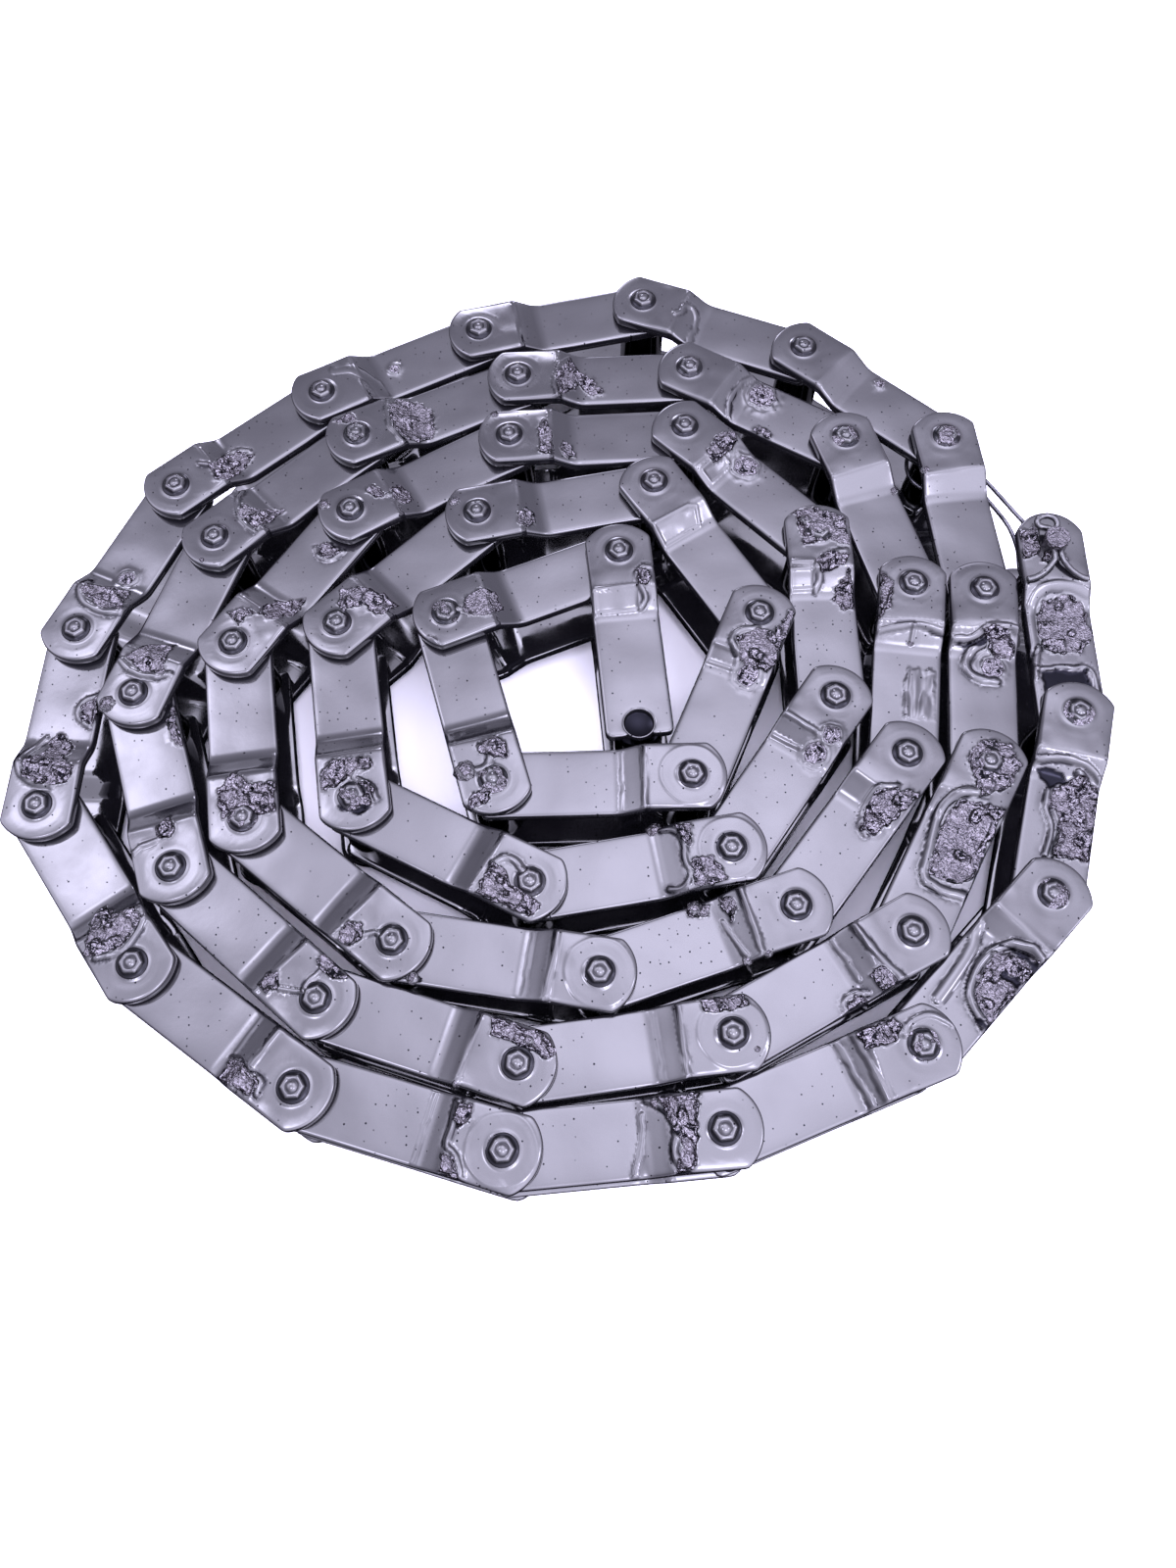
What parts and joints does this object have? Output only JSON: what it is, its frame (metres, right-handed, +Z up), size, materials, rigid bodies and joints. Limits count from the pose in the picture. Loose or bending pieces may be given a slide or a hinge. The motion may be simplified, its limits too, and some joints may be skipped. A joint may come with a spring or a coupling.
{
  "type": "coil of steel pintle chain",
  "caption": "length of steel pintle chain wound into a flat one-layer spiral coil, offset links riveted barrel to side bars, outer end held by a tie wire and a cottered connecting pin",
  "frame": {"origin": "on the floor, under the middle of the bounding box of the coil", "axes": "+Z up, along every pin and through the coil's thickness; +X along the coil's longest extent, towards the tied outer end"},
  "size_m": [0.3342, 0.3084, 0.0454],
  "materials": {
    "coated_link": "thick glossy dip coating, near black, wrinkled and torn at the bends and pin heads",
    "pin_steel": "the same glossy coating over round steel",
    "wire_steel": "bare soft iron wire"
  },
  "bodies": {
    "root": {"link_01": "coated_link", "link_02": "coated_link", "link_03": "coated_link", "link_04": "coated_link", "link_05": "coated_link", "link_06": "coated_link", "link_07": "coated_link", "link_08": "coated_link", "link_09": "coated_link", "link_10": "coated_link", "link_11": "coated_link", "link_12": "coated_link", "link_13": "coated_link", "link_14": "coated_link", "link_15": "coated_link", "link_16": "coated_link", "link_17": "coated_link", "link_18": "coated_link", "link_19": "coated_link", "link_20": "coated_link", "link_21": "coated_link", "link_22": "coated_link", "link_23": "coated_link", "link_24": "coated_link", "link_25": "coated_link", "link_26": "coated_link", "link_27": "coated_link", "link_28": "coated_link", "link_29": "coated_link", "link_30": "coated_link", "link_31": "coated_link", "link_32": "coated_link", "link_33": "coated_link", "link_34": "coated_link", "link_35": "coated_link", "link_36": "coated_link", "link_37": "coated_link", "link_38": "coated_link", "link_39": "coated_link", "link_40": "coated_link", "link_41": "coated_link", "link_42": "coated_link", "link_43": "coated_link", "link_44": "coated_link", "link_45": "coated_link", "link_46": "coated_link", "link_47": "coated_link", "link_48": "coated_link", "link_49": "coated_link", "link_50": "coated_link", "link_51": "coated_link", "link_52": "coated_link", "connecting_pin": "pin_steel", "cotter_pin": "pin_steel", "tie_wire": "wire_steel"}
  },
  "joints": []
}
